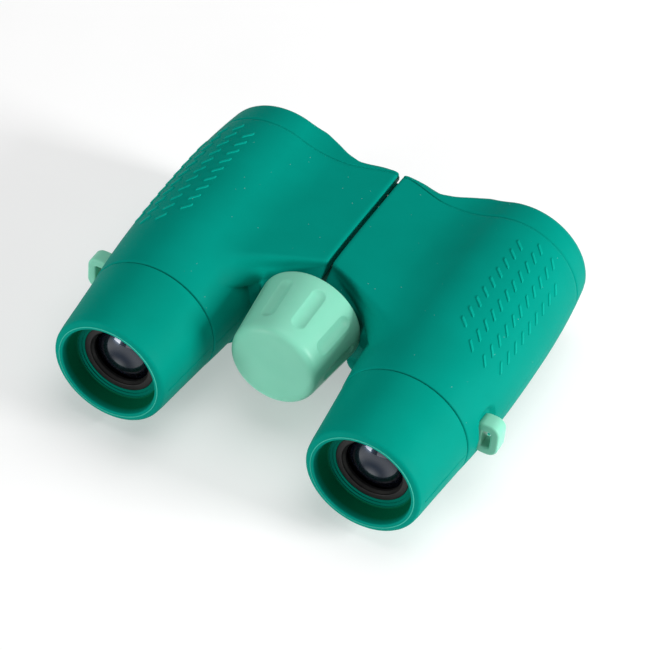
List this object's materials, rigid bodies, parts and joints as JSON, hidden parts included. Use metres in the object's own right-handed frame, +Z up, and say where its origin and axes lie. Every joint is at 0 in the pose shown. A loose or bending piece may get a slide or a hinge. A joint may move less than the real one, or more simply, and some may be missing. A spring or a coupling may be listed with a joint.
{
  "type": "toy binoculars",
  "caption": "Children's folding binoculars: two soft rubber barrels on a centre hinge, a fluted focus wheel that moves both objectives, soft eyecups and strap lugs.",
  "frame": {"origin": "on the surface that the binoculars lie on, below the middle of the object's box", "axes": "+X to the right-hand barrel seen from the eyepieces, +Y forward from the eyepieces to the objectives, +Z up"},
  "size_m": [0.1088, 0.088, 0.0365],
  "materials": {
    "skin_rubber": "soft-touch matte, teal green",
    "eyecup_rubber": "soft matte, teal green",
    "chassis_plastic": "moulded, dark green",
    "mint_plastic": "satin moulded, mint green",
    "black_plastic": "fine matte black",
    "lens_glass": "polished, lightly coated",
    "prism_glass": "polished",
    "steel": "plain turned or pressed steel",
    "brass": "turned brass",
    "white_plastic": "natural slippery plastic",
    "black_rubber": "plain black"
  },
  "bodies": {
    "left_half": {"left_skin": "skin_rubber", "left_chassis": "chassis_plastic", "left_eyecup": "eyecup_rubber", "left_eyepiece_tube": "black_plastic", "left_eye_lens_ring": "black_plastic", "left_eye_lens": "lens_glass", "left_lens_spacer": "black_plastic", "left_field_lens": "lens_glass", "left_prism_cage": "black_plastic", "left_rear_prism": "prism_glass", "left_front_prism": "prism_glass", "left_front_ring": "black_plastic", "left_strap_lug": "mint_plastic", "hinge_axle": "steel", "axle_clip": "steel", "hinge_cap": "chassis_plastic", "wheel_friction_ring": "black_rubber", "hinge_washers": "white_plastic"},
    "right_half": {"right_skin": "skin_rubber", "right_chassis": "chassis_plastic", "right_eyecup": "eyecup_rubber", "right_eyepiece_tube": "black_plastic", "right_eye_lens_ring": "black_plastic", "right_eye_lens": "lens_glass", "right_lens_spacer": "black_plastic", "right_field_lens": "lens_glass", "right_prism_cage": "black_plastic", "right_rear_prism": "prism_glass", "right_front_prism": "prism_glass", "right_front_ring": "black_plastic", "right_strap_lug": "mint_plastic"},
    "focus_wheel": {"focus_wheel": "mint_plastic", "focus_screw": "white_plastic"},
    "left_carriage": {"left_objective_cell": "black_plastic", "left_objective_lens": "lens_glass", "left_objective_ring": "black_plastic", "left_focus_arm": "steel", "focus_nut": "brass"},
    "right_carriage": {"right_objective_cell": "black_plastic", "right_objective_lens": "lens_glass", "right_objective_ring": "black_plastic", "right_focus_arm": "steel"}
  },
  "joints": [
    {"name": "fold", "type": "hinge", "parent": "left_half", "child": "right_half", "pos_m": [0, 0, 0.02225], "axis": [0, 1, 0], "range_deg": [0, 45]},
    {"name": "focus_turn", "type": "hinge", "parent": "left_half", "child": "focus_wheel", "pos_m": [0, 0, 0.02225], "axis": [0, 1, 0], "range_deg": [-200, 200]},
    {"name": "left_focus", "type": "slide", "parent": "left_half", "child": "left_carriage", "axis": [0, 1, 0], "range_m": [-0.0025, 0.0025]},
    {"name": "right_focus", "type": "slide", "parent": "right_half", "child": "right_carriage", "axis": [0, 1, 0], "range_m": [-0.0025, 0.0025]}
  ],
  "couplings": [
    {"joint": "left_focus", "follows": "focus_turn", "m_per_rad": 0.0007},
    {"joint": "right_focus", "follows": "focus_turn", "m_per_rad": 0.0007}
  ]
}
